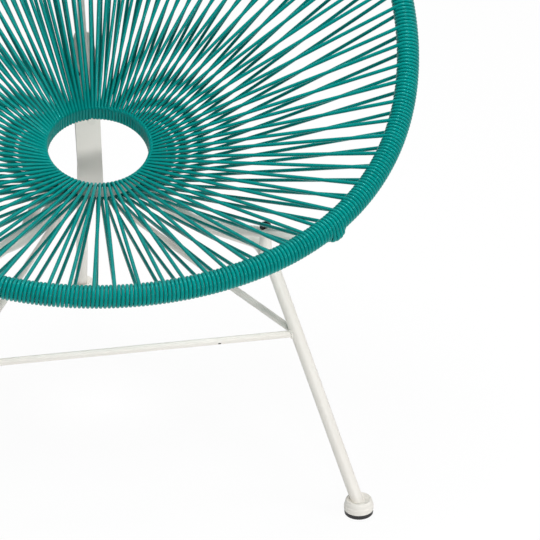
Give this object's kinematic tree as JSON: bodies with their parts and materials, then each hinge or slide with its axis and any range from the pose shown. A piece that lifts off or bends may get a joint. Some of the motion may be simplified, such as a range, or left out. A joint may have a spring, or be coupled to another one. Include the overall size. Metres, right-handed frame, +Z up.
{
  "type": "acapulco chair",
  "caption": "Low lounge chair: a pear-shaped steel rim and a small seat ring strung with plastic cord, bolted to a three-legged base of bent tube with stretchers",
  "frame": {"origin": "on the floor, under the middle of the chair's length and width", "axes": "+Z up, the seat faces -Y, +X to the sitter's left"},
  "size_m": [0.7934, 0.7228, 0.8918],
  "materials": {
    "frame_ivory": "ivory powder coat, satin",
    "cord_teal": "extruded PVC cord, glossy teal",
    "pad_rubber": "moulded black rubber, matt",
    "bolt_black": "black oxide, slightly glossy"
  },
  "bodies": {
    "root": {"seat_bow": "frame_ivory", "front_leg_right": "frame_ivory", "arm_right": "frame_ivory", "spacer_right": "frame_ivory", "front_leg_left": "frame_ivory", "arm_left": "frame_ivory", "spacer_left": "frame_ivory", "spine": "frame_ivory", "spine_tab": "frame_ivory", "back_strap": "frame_ivory", "rear_leg": "frame_ivory", "cord_sector_01": "cord_teal", "cord_sector_02": "cord_teal", "cord_sector_03": "cord_teal", "cord_sector_04": "cord_teal", "cord_sector_05": "cord_teal", "cord_sector_06": "cord_teal", "cord_sector_07": "cord_teal", "cord_sector_08": "cord_teal", "cord_sector_09": "cord_teal", "cord_sector_10": "cord_teal", "cord_sector_11": "cord_teal", "cord_sector_12": "cord_teal", "cord_sector_13": "cord_teal", "cord_sector_14": "cord_teal", "cord_sector_15": "cord_teal", "ring_winding_1": "cord_teal", "ring_winding_2": "cord_teal", "ring_winding_3": "cord_teal", "rim_hoop": "frame_ivory", "ring_band": "frame_ivory", "stretcher_front": "frame_ivory", "stretcher_right": "frame_ivory", "stretcher_left": "frame_ivory", "foot_cup_front_right": "frame_ivory", "foot_pad_front_right": "pad_rubber", "foot_cup_front_left": "frame_ivory", "foot_pad_front_left": "pad_rubber", "foot_cup_rear": "frame_ivory", "foot_pad_rear": "pad_rubber", "front_bolt_right": "bolt_black", "saddle_washer_right": "bolt_black", "front_nut_right": "bolt_black", "front_bolt_left": "bolt_black", "saddle_washer_left": "bolt_black", "front_nut_left": "bolt_black", "rear_bolt_right": "bolt_black", "rear_nut_right": "bolt_black", "rear_bolt_left": "bolt_black", "rear_nut_left": "bolt_black"}
  },
  "joints": []
}
